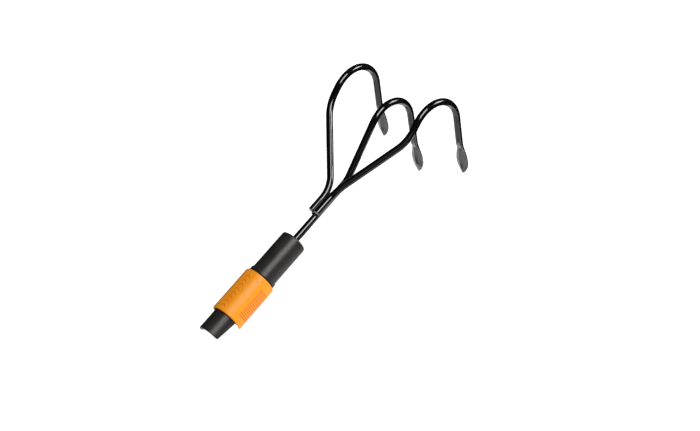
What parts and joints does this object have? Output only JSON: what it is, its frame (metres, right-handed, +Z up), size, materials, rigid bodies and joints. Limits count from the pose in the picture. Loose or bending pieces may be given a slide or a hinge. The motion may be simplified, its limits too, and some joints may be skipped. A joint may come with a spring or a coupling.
{
  "type": "hand cultivator head",
  "caption": "Hand cultivator head: hooked tines with flat pointed blades on a socket with a sprung locking sleeve.",
  "frame": {"origin": "on the handle's axis, where the socket's wall becomes a full circle", "axes": "+X along the handle's axis towards the tines, +Y to the left seen from the handle, +Z up, away from the tips"},
  "size_m": [0.3613, 0.1388, 0.1423],
  "materials": {
    "body_plastic": "black glass-filled nylon, satin moulded",
    "sleeve_plastic": "orange moulded plastic, satin",
    "cam_plastic": "natural acetal",
    "tine_enamel": "gloss black enamel on steel rod",
    "spring_steel": "drawn spring steel",
    "fastener_steel": "zinc plated",
    "ball_steel": "polished bearing steel"
  },
  "bodies": {
    "head": {"socket_body": "body_plastic", "seat_ring": "body_plastic", "seat_wire_ring": "spring_steel", "stop_ring": "spring_steel", "centre_tine": "tine_enamel", "left_tine": "tine_enamel", "right_tine": "tine_enamel", "left_weld_bead": "tine_enamel", "right_weld_bead": "tine_enamel", "top_weld_bead": "tine_enamel", "tang_collar": "fastener_steel", "collar_pin": "fastener_steel", "tang_nut": "fastener_steel", "spring_washer": "fastener_steel", "tang_washer": "fastener_steel", "return_spring": "spring_steel"},
    "sleeve": {"locking_sleeve": "sleeve_plastic", "cam_ring": "cam_plastic"},
    "ball_top": {"latch_ball_top": "ball_steel"},
    "ball_left": {"latch_ball_left": "ball_steel"},
    "ball_right": {"latch_ball_right": "ball_steel"}
  },
  "joints": [
    {"name": "sleeve_slide", "type": "slide", "parent": "head", "child": "sleeve", "axis": [1, 0, 0], "range_m": [0, 0.008], "stiffness_N_per_m": 250, "springref_m": -0.012, "deforming": ["return_spring"]},
    {"name": "ball_top_lift", "type": "slide", "parent": "head", "child": "ball_top", "axis": [0, 0, 1], "range_m": [0, 0.00125]},
    {"name": "ball_right_lift", "type": "slide", "parent": "head", "child": "ball_right", "axis": [0, -0.866, -0.5], "range_m": [0, 0.00125]},
    {"name": "ball_left_lift", "type": "slide", "parent": "head", "child": "ball_left", "axis": [0, 0.866, -0.5], "range_m": [0, 0.00125]}
  ],
  "couplings": [
    {"joint": "ball_top_lift", "follows": "sleeve_slide", "ratio": 0.15625},
    {"joint": "ball_right_lift", "follows": "sleeve_slide", "ratio": 0.15625},
    {"joint": "ball_left_lift", "follows": "sleeve_slide", "ratio": 0.15625}
  ]
}
